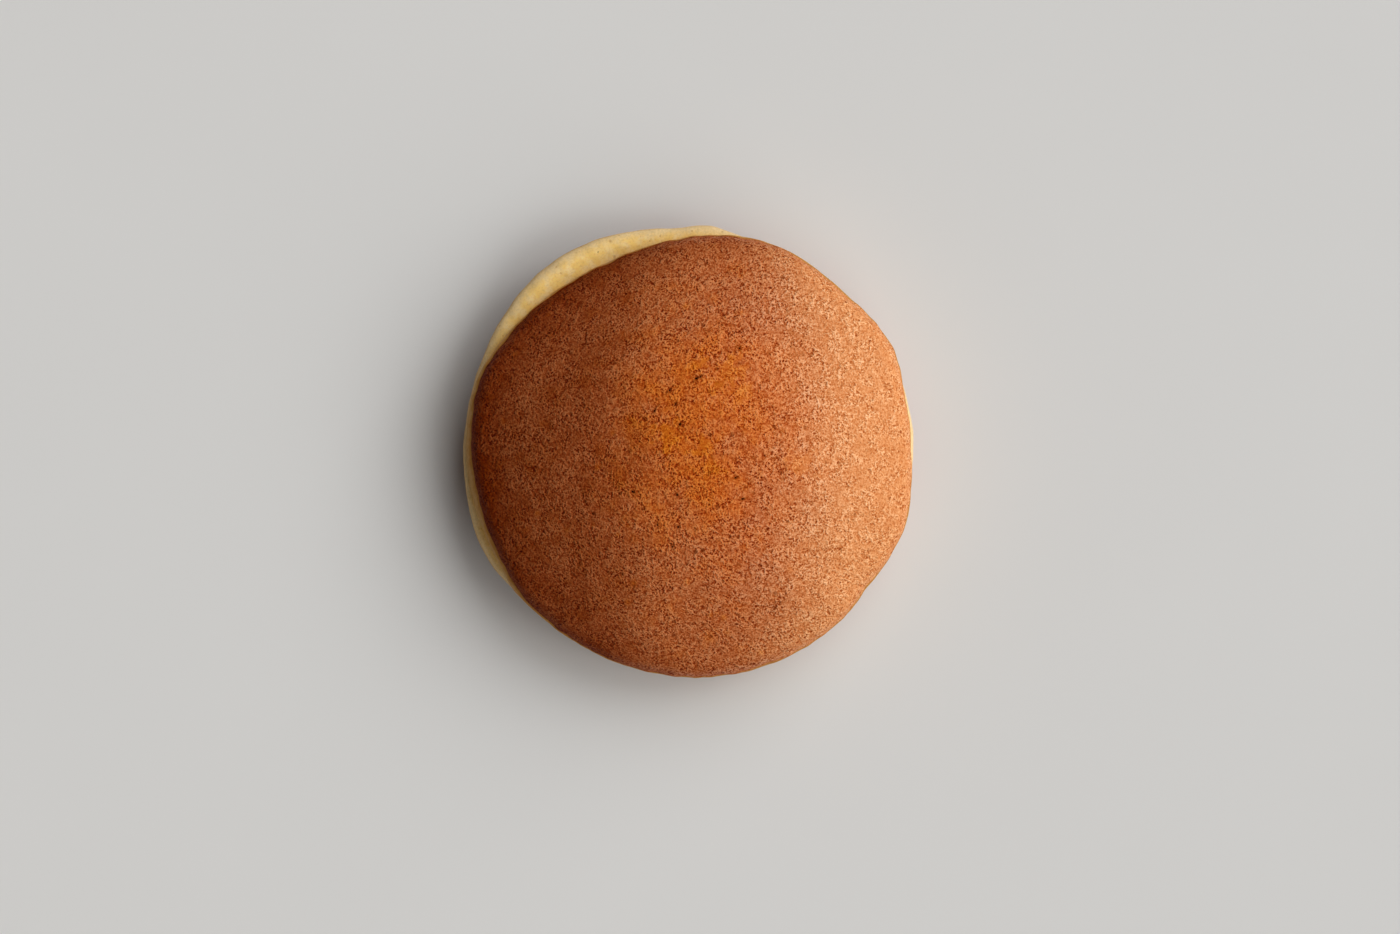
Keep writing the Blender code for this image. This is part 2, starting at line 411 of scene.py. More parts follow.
@dataclass
class Cake:
    """Smooth, uneven shape of one cake, at its place in the frame."""

    node: str
    profile: Profile
    radius: float
    centre: Vector
    swells: tuple
    drawn_back: tuple = ()
    lip_lifts: tuple = ()
    sags: tuple = ()
    curls: tuple = ()

    def __post_init__(self):
        self.shift = Vector((0.0, 0.0, 0.0))
        self.shift = self.way_to_frame()

    def way_to_frame(self):
        """Move that brings this outline's box onto the box of the CAD node."""
        turn = [math.tau * i / TURN_STEPS for i in range(TURN_STEPS)]
        walks = [self.profile.crust_length + i * WALL_STEP for i in range(WALL_STEPS)]
        widest = max(walks, key=lambda walk: self.profile.at(walk)[0])
        rim = [self.surface(bearing, widest) for bearing in turn]
        low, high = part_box(self.node)
        middle_x = (min(p.x for p in rim) + max(p.x for p in rim)) / 2.0
        middle_y = (min(p.y for p in rim) + max(p.y for p in rim)) / 2.0
        pole = self.surface(0.0, 0.0).z
        pole_there = high.z if self.profile.facing > 0.0 else low.z
        middle = (low + high) / 2.0
        return Vector((middle.x - middle_x, middle.y - middle_y, pole_there - pole))

    def surface(self, bearing, walk):
        """Place of the smooth surface at a bearing, a length away from the crust's pole."""
        radius, height = self.profile.at(walk)
        reach = radius / self.radius
        growth = 1.0 + swell(bearing, self.swells) / self.radius * reach**2
        above_wall = smoothstep(UPPER_WIDEST_HEIGHT, UPPER_CRUST_HEIGHT, height)
        growth -= swell(bearing, self.drawn_back) * above_wall * reach / self.radius
        near_lip = smoothstep(*LIP_REACH, reach)
        near_lip *= 1.0 - smoothstep(SEAM_HEIGHT, UPPER_WIDEST_HEIGHT, height)
        above_lip = smoothstep(SEAM_HEIGHT + SEAM_GAP, UPPER_CRUST_HEIGHT, height)
        height += swell(bearing, self.lip_lifts) * near_lip
        height -= swell(bearing, self.sags) * above_lip * smoothstep(*CRUST_SAG_REACH, reach)
        above_foot = smoothstep(RIM_WAVE_START, RIM_WAVE_FULL, height)
        height += swell(bearing, self.curls) * above_foot * smoothstep(*RIM_CURL_REACH, reach)
        x = radius * growth * math.cos(bearing) + self.centre.x
        y = radius * growth * math.sin(bearing) + self.centre.y
        height += rim_wave(x, y) * smoothstep(RIM_WAVE_START, RIM_WAVE_FULL, height)
        return Vector((x, y, height)) + self.shift

    def outward(self, bearing, walk):
        """Outward direction at a bearing and a length from the pole."""
        out, up = self.profile.normal(walk)
        return Vector((out * math.cos(bearing), out * math.sin(bearing), up))


# ---- relief of the skin


class Scatter:
    """Small dents strewn at random over a disc, found quickly by place."""

    def __init__(self, count, reach, seed, widths, depths):
        draw = random.Random(seed)
        self.dents = []
        self.tree = KDTree(count)
        self.widest = max(widths)
        for i in range(count):
            bearing = draw.uniform(0.0, math.tau)
            radius = reach * math.sqrt(draw.random())
            place = Vector((radius * math.cos(bearing), radius * math.sin(bearing), 0.0))
            self.dents.append((draw.uniform(*widths), draw.uniform(*depths)))
            self.tree.insert(place, i)
        self.tree.balance()

    def depth(self, x, y):
        """Depth of the dents at a place."""
        total = 0.0
        for _, index, away in self.tree.find_range((x, y, 0.0), 2.0 * self.widest):
            width, depth = self.dents[index]
            total = max(total, depth * bump(away / width))
        return total


def even_noise(place, size, shift=0.0):
    """Noise from about -1 to 1 with lumps of about the given size."""
    return noise.noise(place / size + Vector((shift, 1.7 * shift, 2.3 * shift)))


def layered_noise(place, layers):
    """Sum of layers of noise."""
    return sum(height * even_noise(place, size, shift) for size, shift, height in layers)


def drawn_noise(along, across, streaks):
    """Noise drawn out into streaks, each longer one way than the other."""
    length, width, shift = streaks
    return even_noise(Vector((along / length, across / width, 0.0)), 1.0, shift)


def glassiness(x, y):
    """1 in the middle of a melted patch, fading to 0 around it, with a ragged edge."""
    ragged = layered_noise(Vector((x, y, 0.0)), RAGGED_PATCH)
    total = 0.0
    for patch_x, patch_y, radius in GLASSY_PATCHES:
        away = math.hypot(x - patch_x, y - patch_y) / radius
        total = max(total, 1.0 - smoothstep(*GLASS_FADE, away + ragged))
    return total


def scar(x, y):
    """1 along a shallow scar, and 0 away from it."""
    total = 0.0
    for scar_x, scar_y, length, turn in SCARS:
        along = Vector((math.cos(math.radians(turn)), math.sin(math.radians(turn))))
        offset = Vector((x - scar_x, y - scar_y))
        forth = offset.dot(along) / (0.5 * length)
        across = along.cross(offset) / SCAR_HALF_WIDTH
        total = max(total, bump(forth) * bump(across))
    return total


def fold(bearing, edge):
    """Depth of the folds along the rim, edge being the way in from the crust's edge."""
    total = 0.0
    for middle, half_width, inset, depth in RIM_FOLDS:
        along = bump(degrees_away(bearing, middle) / half_width)
        total += depth * along * bump((edge - inset) / FOLD_HALF_WIDTH)
    return total


def warmth(x, y):
    """How orange the crust is: most where it lay flattest on the griddle, in uneven clouds."""
    clouds = WARM_CLOUD_STRENGTH * layered_noise(Vector((x, y, 0.0)), WARM_CLOUDS)
    middle = 1.0 - smoothstep(*WARM_END, math.dist((x, y), WARM_MIDDLE))
    return min(max(WARM_STRENGTH * middle + clouds * (1.0 + middle), 0.0), 1.0)


def goldness(x, y):
    """How much painted light makes the crust pale and golden: most on the side toward the light, near
    one rim.
    """
    clouds = layered_noise(Vector((x, y, 0.0)), GOLD_CLOUDS)
    return smoothstep(*GOLD_START, x + GOLD_BOW * (math.hypot(x, y) - GOLD_BOW_RADIUS) + clouds)


class Skin:
    """What a cake's skin does at each point, all in millimetres."""

    def __init__(self, cake, shape):
        self.shape = shape
        self.radius = cake.radius / MM
        self.edge_walk = cake.profile.crust_length / MM
        self.pits = Scatter(shape.pit_count, self.radius, *PITS)
        self.spots = Scatter(shape.spot_count, self.radius, *SPOTS)
        self.shows_marks = cake.profile.facing > 0.0

    def edge(self, bearing, walk):
        """Way in from the wavy line where crust turns into pale wall. It is negative on the wall."""
        wavy = layered_noise(self.around(bearing), WAVY_EDGE)
        if self.shows_marks:
            wavy += CRUST_OVERLAP - swell(bearing, CRUST_DRAWN_BACK) / MM
        return self.edge_walk - walk + wavy

    def around(self, bearing):
        """Place on the rim's circle, for noise that closes on itself."""
        return Vector((math.cos(bearing), math.sin(bearing), 0.0)) * self.radius

    def at(self, place, bearing, walk):
        """Relief along the surface's outward direction, and the values that the materials read."""
        x, y, z = place
        edge = self.edge(bearing, walk)
        on_crust = smoothstep(-EDGE_BLEND, EDGE_BLEND, edge)
        glass = max(glassiness(x, y) if self.shows_marks else 0.0, self.spots.depth(x, y))
        grain = layered_noise(place, GRAIN) * (1.0 - GLASS_CALM * glass)
        calm_rim = RIM_GRAIN + (1.0 - RIM_GRAIN) * smoothstep(*RIM_GRAIN_END, edge)
        pit = self.pits.depth(x, y) * calm_rim
        folds = self.folds(bearing, edge) if self.shows_marks else 0.0
        crust = layered_noise(place, WIDE_WAVES) - pit - folds
        crust += self.shape.grain_height / MM * grain * calm_rim
        if self.shows_marks:
            crust += self.marks(x, y)
        nibbles = layered_noise(self.around(bearing), EDGE_NIBBLES)
        nibbles *= bump((edge - NIBBLE_PLACE[0]) / NIBBLE_PLACE[1])
        wall = self.wall(place, bearing, z)
        # The toasted mask carries real browning of the rim and painted shade on the side away from the
        # light.
        toasted = swell(bearing, TOASTED_RIM) * (1.0 - smoothstep(0.0, TOASTED_RIM_WIDTH, edge))
        clouded_x = x + layered_noise(place, TOAST_CLOUDS)
        toasted += TOASTED_SIDE * (1.0 - smoothstep(*TOASTED_SIDE_END, clouded_x))
        warm = UNDERSIDE_WARMTH
        if self.shows_marks:
            warm = min(warmth(x, y) + FOLD_WARMTH * folds, 1.0)
        # The pore value carries painted shade: pits darkened by their depth, the pinholes' insides,
        # and the crumb's pore.
        pit_shade = PIT_SHADE * min(pit / PIT_FULL_DEPTH, 1.0)
        values = {
            "edge": edge,
            "warmth": warm,
            "toast": min(toasted, 1.0),
            "gold": goldness(x, y) if self.shows_marks else 0.0,
            "glass": glass,
            "grain": grain,
            "pore": max(pit_shade, self.crumb_pore(x, y, z)),
        }
        return wall + (crust - wall) * on_crust + nibbles, values

    def folds(self, bearing, edge):
        """Depth of the folds and of the fine streaks along the rim."""
        streaks = drawn_noise(bearing * self.radius, edge, RIM_STREAKS)
        near_rim = smoothstep(*STREAKS_START, edge) * (1.0 - smoothstep(*STREAKS_END, edge))
        return fold(bearing, edge) + swell(bearing, STREAKED_RIM) * streaks * near_rim

    def crumb_pore(self, x, y, z):
        """1 in the one open pore of the lower cake's pale rim, which is painted shade only."""
        if self.shows_marks or z < CRUMB_PORE_FLOOR:
            return 0.0
        return bump(math.dist((x, y), CRUMB_PORE[:2]) / CRUMB_PORE[2])

    def marks(self, x, y):
        """Relief of the ring mark and of the scars."""
        ring_x, ring_y, ring_radius, ring_width = RING_MARK
        away = math.hypot(x - ring_x, y - ring_y)
        ring = RING_HEIGHT * bump((away - ring_radius) / ring_width)
        hollow = RING_HOLLOW_DEPTH * bump(away / (RING_HOLLOW_SHARE * ring_radius))
        return ring - hollow - SCAR_DEPTH * scar(x, y)

    def wall(self, place, bearing, z):
        """Relief of the pale wall: soft lumps and fine creases that run along the rim."""
        creases = drawn_noise(bearing * self.radius, z, WALL_CREASES)
        return layered_noise(place, WALL_LUMPS) + CREASE_DEPTH * creases


# ---- mesh of a cake

VALUE_NAMES = ("edge", "warmth", "toast", "gold", "glass", "grain", "pore")
FINE_FACE = 7.0 * MM  # way in from the seam face's inner edge to its fine rings
COARSE_CELLS = 3.0  # cells that a ring further in is wide
RELIEF_END = (6.0 * MM, 3.0 * MM)  # ways in from the seam face's inner edge where relief dies away
PINHOLE_RIM_SHADE = 0.8
PINHOLE_LIP = 0.12  # share of a pinhole's width
MAP_NAME = "OFBake"  # map from the crust's pole outwards, free of seams
MAP_RADIUS = 0.495
MAP_CORNER = Vector((0.965, 0.965))
MAP_CORNER_RADIUS = 0.03


def square_to_disc(x, y):
    """Share of the way out, and bearing, of a point of the square from -1 to 1.

    Squares around the middle become circles, so the cells keep nearly one size.
    """
    if max(abs(x), abs(y)) == 0.0:
        return 0.0, 0.0
    if abs(x) > abs(y):
        bearing = math.pi / 4.0 * y / x
        return abs(x), bearing if x > 0.0 else bearing + math.pi
    bearing = math.pi / 2.0 - math.pi / 4.0 * x / y
    return abs(y), bearing if y > 0.0 else bearing + math.pi


def ring_walks(profile, cell):
    """Lengths from the pole of the rings past the crust: fine on wall and lip, wider inside."""
    fine_end = profile.total_length - FINE_FACE
    walks = []
    walk = profile.crust_length
    while walk < profile.total_length:
        walk += cell if walk < fine_end else COARSE_CELLS * cell
        walks.append(min(walk, profile.total_length))
    return walks


def crust_grid(bm, cells, profile, walk_layer, bearing_layer):
    """Square grid whose points know their bearing and their length from the crust's pole."""
    bmesh.ops.create_grid(bm, x_segments=cells, y_segments=cells, size=1.0)
    for vert in bm.verts:
        share, bearing = square_to_disc(vert.co.x, vert.co.y)
        vert[walk_layer] = share * profile.crust_length
        vert[bearing_layer] = bearing
    return [edge for edge in bm.edges if edge.is_boundary]


def grow_ring(bm, rim, walk, walk_layer):
    """Extrudes the open rim by one ring, whose points lie at the given length from the pole."""
    grown = bmesh.ops.extrude_edge_only(bm, edges=rim)["geom"]
    for vert in grown:
        if isinstance(vert, bmesh.types.BMVert):
            vert[walk_layer] = walk
    edges = [edge for edge in grown if isinstance(edge, bmesh.types.BMEdge)]
    return [edge for edge in edges if edge.is_boundary]


def poke_pinholes(bm, skin, depth):
    """Opens small deep holes in the crust, by insetting the faces round a point and sinking them."""
    pore_layer = bm.verts.layers.float["pore"]
    tree = KDTree(len(bm.verts))
    bm.verts.ensure_lookup_table()
    for vert in bm.verts:
        if vert.co.z > UPPER_CRUST_HEIGHT:
            tree.insert((vert.co.x, vert.co.y, 0.0), vert.index)
    tree.balance()
    chosen = []
    for x, y, width in PINHOLES:
        _, index, _ = tree.find((x * MM, y * MM, 0.0))
        chosen.append((bm.verts[index], width * MM))
    for middle, width in chosen:
        faces = list(middle.link_faces)
        ring = {vert for face in faces for vert in face.verts if vert != middle}
        for vert in ring:
            away = vert.co - middle.co
            vert.co = middle.co + away.normalized() * width * 0.5
            # painted shade on the pinhole's rim
            vert[pore_layer] = PINHOLE_RIM_SHADE
        bmesh.ops.inset_region(bm, faces=faces, thickness=PINHOLE_LIP * width)
        sunk = {vert for face in middle.link_faces for vert in face.verts}
        for vert in sunk:
            vert.co.z -= depth
            # painted shade inside the pinhole
            vert[pore_layer] = 1.0


def new_object(name, bm):
    """Object of the given name with the mesh that was being shaped."""
    mesh = bpy.data.meshes.new(name)
    bm.to_mesh(mesh)
    bm.free()
    obj = bpy.data.objects.new(name, mesh)
    bpy.context.scene.collection.objects.link(obj)
    return obj


def map_cake(bm, profile, walk_layer, bearing_layer):
    """Lays the skin out as one disc, and the hidden seam face as a small one in a corner."""
    layer = bm.loops.layers.uv.new(MAP_NAME)
    middle = Vector((0.5, 0.5))
    for face in bm.faces:
        hidden = len(face.verts) > 8
        for loop in face.loops:
            bearing = loop.vert[bearing_layer]
            share = loop.vert[walk_layer] / profile.total_length
            way = Vector((math.cos(bearing), math.sin(bearing)))
            if hidden:
                loop[layer].uv = MAP_CORNER + MAP_CORNER_RADIUS * way
            else:
                loop[layer].uv = middle + MAP_RADIUS * share * way


def model_cake(cake, shape):
    """Mesh object of one cake, in the frame, with the values that its material reads."""
    bm = bmesh.new()
    walk_layer = bm.verts.layers.float.new("walk")
    bearing_layer = bm.verts.layers.float.new("bearing")
    layers = {name: bm.verts.layers.float.new(name) for name in VALUE_NAMES}
    profile = cake.profile
    rim = crust_grid(bm, shape.cells, profile, walk_layer, bearing_layer)
    cell = 2.0 * profile.crust_length / shape.cells
    for walk in ring_walks(profile, cell):
        rim = grow_ring(bm, rim, walk, walk_layer)
    bmesh.ops.edgeloop_fill(bm, edges=rim)

    skin = Skin(cake, shape)
    relief_end = [profile.total_length - way_in for way_in in RELIEF_END]
    for vert in bm.verts:
        bearing, walk = vert[bearing_layer], vert[walk_layer]
        place = cake.surface(bearing, walk)
        relief, values = skin.at(place / MM, bearing, walk / MM)
        relief *= 1.0 - smoothstep(*relief_end, walk)
        vert.co = place + cake.outward(bearing, walk) * relief * MM
        vert.co.z = max(vert.co.z, 0.0)
        for name, value in values.items():
            vert[layers[name]] = value
    map_cake(bm, profile, walk_layer, bearing_layer)
    if skin.shows_marks:
        poke_pinholes(bm, skin, shape.pinhole_depth)
    bmesh.ops.recalc_face_normals(bm, faces=bm.faces)
    all_layers = bm.verts.layers.float
    for name in ("walk", "bearing"):
        all_layers.remove(all_layers[name])

    piece = new_object(cake.node + "_skin", bm)
    piece.data.shade_smooth()
    return piece


# ---- shader node groups

CRUST_COLOURS = ("brown", "orange", "amber", "toasted", "golden", "pit", "hole")
CRUMB_COLOURS = ("cream", "blush", "wall", "ochre")
# Sizes of the lumps of each pattern, in millimetres
SWIRL_SIZE = 0.9
SWIRL_PUSH = 0.6
NET_SIZE = 0.62
CRUST_PORE_SPACING = 1.5
CRUMB_PORE_SPACING = 1.1
GLINT_SIZE = 0.85
FINE_SIZE = 0.34
COARSE_SIZE = 1.5
ROUGH_SIZE = 2.8
CLOUD_SIZE = 5.0
MOTTLE_SIZE = 2.2
CRUMB_SIZE = 0.5
# Pores, as shares of their spacing, and the dark floor as a share of a pore
PORE_LEAST_WIDTH = 0.08
PORE_WIDTH_SPREAD = 0.34
PORE_FLOOR_SHARE = 0.45
# Least and most that the net of ridges and pits lightens and darkens the crust's colour, partly its
# own tone and partly painted highlight and shade
LEAST_LIGHT = 0.35
MOST_LIGHT = 1.42
# Width of the tanned band of wall next to each cake's crust, in millimetres
TOASTED_WIDTHS = {"upper_cake": 2.6, "lower_cake": 3.4}


def scale_of(size):
    """Scale of a texture whose lumps have a size in millimetres."""
    return 1.0 / (size * MM)


class Graph:
    """Adds nodes to a node tree, in rows, and links what they are given."""

    ROW = 7

    def __init__(self, tree):
        self.tree = tree

    def add(self, kind, values=None, **settings):
        """New node. Values are numbers, colours or other nodes' outputs for its inputs."""
        node = self.tree.nodes.new(kind)
        count = len(self.tree.nodes)
        node.location = (220 * (count % self.ROW), -320 * (count // self.ROW))
        for name, value in settings.items():
            setattr(node, name, value)
        for name, value in (values or {}).items():
            if isinstance(value, bpy.types.NodeSocket):
                self.tree.links.new(value, node.inputs[name])
            else:
                node.inputs[name].default_value = value
        return node

    def math(self, operation, *values, clamp=False):
        """Output of a Math node."""
        values = dict(enumerate(values))
        node = self.add("ShaderNodeMath", values, operation=operation, use_clamp=clamp)
        return node.outputs["Value"]

    def times(self, first, second):
        """Product of two values."""
        return self.math("MULTIPLY", first, second)

    def plus(self, value, factor, base, clamp=False):
        """Base plus the value times the factor."""
        return self.math("MULTIPLY_ADD", value, factor, base, clamp=clamp)

    def rise(self, value, low, high, start=0.0, end=1.0):
        """Smooth rise from start to end while the value goes from low to high."""
        limits = {"Value": value, "From Min": low, "From Max": high, "To Min": start, "To Max": end}
        node = self.add("ShaderNodeMapRange", limits, interpolation_type="SMOOTHSTEP")
        return node.outputs["Result"]

    def mix(self, share, first, second, blend="MIX"):
        """Colour between two colours."""
        values = {0: share, 6: first, 7: second}
        node = self.add("ShaderNodeMix", values, data_type="RGBA", blend_type=blend)
        return node.outputs[2]

    def between(self, share, first, second):
        """Number between two numbers."""
        node = self.add("ShaderNodeMix", {0: share, 2: first, 3: second}, data_type="FLOAT")
        return node.outputs[0]

    def noise(self, vector, size, detail=2.0, roughness=0.5):
        """Noise around 0.5 with lumps of a size in millimetres."""
        values = {"Vector": vector, "Scale": scale_of(size), "Detail": detail}
        values["Roughness"] = roughness
        return self.add("ShaderNodeTexNoise", values).outputs["Fac"]

    def even(self, noise):
        """The same noise around 0."""
        return self.math("SUBTRACT", noise, 0.5)

    def shade(self, colour, red, green, blue):
        """Colour with each part made lighter or darker by a factor."""
        values = {"Red": red, "Green": green, "Blue": blue}
        light = self.add("ShaderNodeCombineColor", values).outputs["Color"]
        return self.mix(1.0, colour, light, "MULTIPLY")

    def group(self, name, values):
        """Outputs of a node group, which takes from the values what it has inputs for."""
        tree = bpy.data.node_groups[name]
        wanted = {item.name for item in tree.interface.items_tree if item.in_out == "INPUT"}
        taken = {key: value for key, value in values.items() if key in wanted}
        return self.add("ShaderNodeGroup", taken, node_tree=tree).outputs


def new_group(name, inputs, outputs):
    """Graph, inputs and outputs of a new shader node group, from socket names for each kind."""
    group = bpy.data.node_groups.new(name, "ShaderNodeTree")
    for way, sockets in (("INPUT", inputs), ("OUTPUT", outputs)):
        for kind, names in sockets.items():
            for socket in names:
                group.interface.new_socket(socket, in_out=way, socket_type="NodeSocket" + kind)
    graph = Graph(group)
    return graph, graph.add("NodeGroupInput").outputs, graph.add("NodeGroupOutput").inputs


def deliver(graph, sockets, values):
    """Links values to sockets by name: the outputs of a node group, or a shader's inputs."""
    for name, value in values.items():
        graph.tree.links.new(value, sockets[name])


def small_pores():
    """Group: small round pores of uneven width, as the crumb and the crust both have."""
    inputs = {"Vector": ("Vector",), "Float": ("Scale", "Share")}
    graph, given, result = new_group("Pores", inputs, {"Float": ("Pore",)})
    spacing = {"Vector": given["Vector"], "Scale": given["Scale"]}
    cells = graph.add("ShaderNodeTexVoronoi", spacing)
    luck = graph.add("ShaderNodeSeparateColor", {"Color": cells.outputs["Color"]})
    width = graph.plus(luck.outputs["Red"], PORE_WIDTH_SPREAD, PORE_LEAST_WIDTH)
    inner = graph.times(width, PORE_FLOOR_SHARE)
    hole = graph.rise(cells.outputs["Distance"], width, inner)
    there = graph.math("LESS_THAN", luck.outputs["Green"], given["Share"])
    deliver(graph, result, {"Pore": graph.times(hole, there)})

def browned_crust():
    """Group: griddle crust, a net of light ridges with painted glints over darker ground, with clouds
    and fine pits in painted shade.
    """
    inputs = {
        "Vector": ("Vector",),
        "Float": [name.title() for name in VALUE_NAMES],
        "Color": [name.title() for name in CRUST_COLOURS] + ["Ochre"],
    }
    outputs = {"Color": ("Color",), "Float": ("Roughness", "Height", "Glaze")}
    graph, given, result = new_group("Browned crust", inputs, outputs)
    vector = given["Vector"]

    swirl = graph.add("ShaderNodeTexNoise", {"Vector": vector, "Scale": scale_of(SWIRL_SIZE)})
    push = {0: swirl.outputs["Color"], 1: (SWIRL_PUSH * MM,) * 3, 2: vector}
    bent = graph.add("ShaderNodeVectorMath", push, operation="MULTIPLY_ADD").outputs["Vector"]
    net = graph.add("ShaderNodeTexVoronoi", {"Vector": bent, "Scale": scale_of(NET_SIZE)})
    ridge = graph.rise(net.outputs["Distance"], 0.15, 0.8, -0.5, 0.5)
    # Thin bright lines: painted glints that lighten the colour as highlights on the ridges would; they
    # also raise the bump.
    fold_line = graph.math("ABSOLUTE", graph.even(graph.noise(bent, GLINT_SIZE, 1.0)))
    glint = graph.rise(fold_line, 0.0, 0.15, 0.65, -0.35)
    fine = graph.even(graph.noise(vector, FINE_SIZE, 1.0))
    coarse = graph.even(graph.noise(vector, COARSE_SIZE, 2.0))
    rough = graph.rise(graph.noise(vector, ROUGH_SIZE, 1.0), 0.34, 0.62, 0.6, 1.3)
    calm = graph.plus(given["Glass"], -0.4, rough)
    lumps = graph.plus(glint, 0.3, graph.times(ridge, 0.45))
    lumps = graph.plus(coarse, 0.3, lumps)
    lumps = graph.plus(given["Grain"], 0.15, lumps)
    lumps = graph.times(lumps, calm)
    texture = graph.plus(graph.times(fine, calm), 2.1, lumps)

    cloud = graph.even(graph.noise(vector, CLOUD_SIZE, 3.5, 0.65))
    warm = graph.plus(cloud, 2.2, given["Warmth"])
    warm = graph.plus(given["Glass"], 0.9, warm, clamp=True)
    glassy = graph.times(given["Glass"], 0.6)
    # Toasted colour: real browning of the rim, and painted shade on the side away from the light.
    patchy = graph.plus(cloud, 0.8, given["Toast"], clamp=True)
    toast = graph.times(patchy, graph.rise(given["Toast"], 0.0, 0.3))
    colour = graph.mix(warm, given["Brown"], given["Orange"])
    colour = graph.mix(glassy, colour, given["Amber"])
    # Painted light: the side toward the light is mixed towards the paler golden colour.
    colour = graph.mix(given["Gold"], colour, given["Golden"])
    colour = graph.mix(toast, colour, given["Toasted"])
    # The pattern lightens and darkens the colour: partly the grain's own tone, partly painted
    # highlight on the ridges and painted shade in the hollows.
    contrast = graph.plus(given["Gold"], -0.5, 1.05)
    light = graph.plus(texture, contrast, 1.0)
    light = graph.math("MINIMUM", graph.math("MAXIMUM", light, LEAST_LIGHT), MOST_LIGHT)
    darker = graph.times(light, light)
    darkest = graph.times(darker, light)
    colour = graph.shade(colour, light, darker, darkest)
    at_edge = graph.rise(given["Edge"], -0.1, 0.45, 0.8, 0.0)
    colour = graph.mix(at_edge, colour, given["Ochre"])

    spacing = scale_of(CRUST_PORE_SPACING)
    pores = graph.group("Pores", {"Vector": vector, "Scale": spacing, "Share": 0.45})
    dot = graph.times(pores["Pore"], calm)
    # Pits and pores are darkened towards the pit colour, and the pinholes towards the hole colour, as
    # painted shade in their hollows.
    shallow = graph.plus(dot, 0.6, given["Pore"], clamp=True)
    faint = graph.plus(given["Gold"], -0.8, 1.0)
    colour = graph.mix(graph.times(shallow, faint), colour, given["Pit"])
    deep = graph.rise(given["Pore"], 0.7, 0.95)
    colour = graph.mix(deep, colour, given["Hole"])

    roughness = graph.plus(texture, -0.15, 0.6)
    roughness = graph.plus(given["Glass"], -0.1, roughness)
    height = graph.plus(lumps, 0.2, graph.times(fine, 0.12))
    height = graph.plus(dot, -0.1, height)
    glaze = graph.rise(given["Edge"], 0.2, 1.6)
    unburnt = graph.plus(given["Toast"], -1.0, 0.7, clamp=True)
    glaze = graph.times(glaze, unburnt)
    glaze = graph.times(glaze, graph.plus(texture, 1.3, 0.25))
    glaze = graph.times(glaze, graph.plus(given["Gold"], -0.4, 1.0))
    glaze = graph.math("SUBTRACT", glaze, shallow, clamp=True)
    values = {"Color": colour, "Roughness": roughness, "Height": height, "Glaze": glaze}
    deliver(graph, result, values)

def pale_crumb():
    """Group: soft unbrowned crumb, mottled cream and blush, with fine pores in painted shade and a tan
    outer rim.
    """
    inputs = {
        "Vector": ("Vector",),
        "Float": ("Edge", "Toast", "Pore", "Toasted Width"),
        "Color": [name.title() for name in CRUMB_COLOURS] + ["Hole"],
    }
    outputs = {"Color": ("Color",), "Float": ("Roughness", "Height")}
    graph, given, result = new_group("Pale crumb", inputs, outputs)
    vector = given["Vector"]

    mottle = graph.noise(vector, MOTTLE_SIZE, 3.0, 0.6)
    blush = graph.rise(mottle, 0.4, 0.66)
    colour = graph.mix(blush, given["Cream"], given["Blush"])
    beyond = graph.times(given["Edge"], -1.0)
    on_wall = graph.rise(beyond, 3.5, 6.5, 0.85, 0.0)
    colour = graph.mix(on_wall, colour, given["Wall"])
    fine = graph.even(graph.noise(vector, CRUMB_SIZE, 2.0, 0.6))
    light = graph.plus(fine, 0.5, 1.02)
    colour = graph.shade(colour, light, light, light)

    ragged = graph.plus(graph.even(mottle), 2.0, beyond)
    toasted = graph.rise(ragged, 0.0, given["Toasted Width"], 1.0, 0.0)
    # Partly painted shade: where the toast-and-shade mask is high, the crumb next to the crust turns
    # ochre.
    near_crust = graph.rise(beyond, 2.5, 4.5, 0.7, 0.0)
    browned = graph.times(given["Toast"], near_crust)
    colour = graph.mix(graph.math("MAXIMUM", toasted, browned), colour, given["Ochre"])

    spacing = scale_of(CRUMB_PORE_SPACING)
    pores = graph.group("Pores", {"Vector": vector, "Scale": spacing, "Share": 0.22})
    dot = graph.times(pores["Pore"], 0.4)
    # Pores are darkened towards ochre, and the open pore towards the hole colour, as painted shade.
    colour = graph.mix(dot, colour, given["Ochre"])
    colour = graph.mix(graph.rise(given["Pore"], 0.7, 0.95), colour, given["Hole"])

    roughness = graph.plus(fine, 0.2, 0.72)
    height = graph.times(fine, 0.045)
    height = graph.plus(dot, -0.12, height)
    deliver(graph, result, {"Color": colour, "Roughness": roughness, "Height": height})

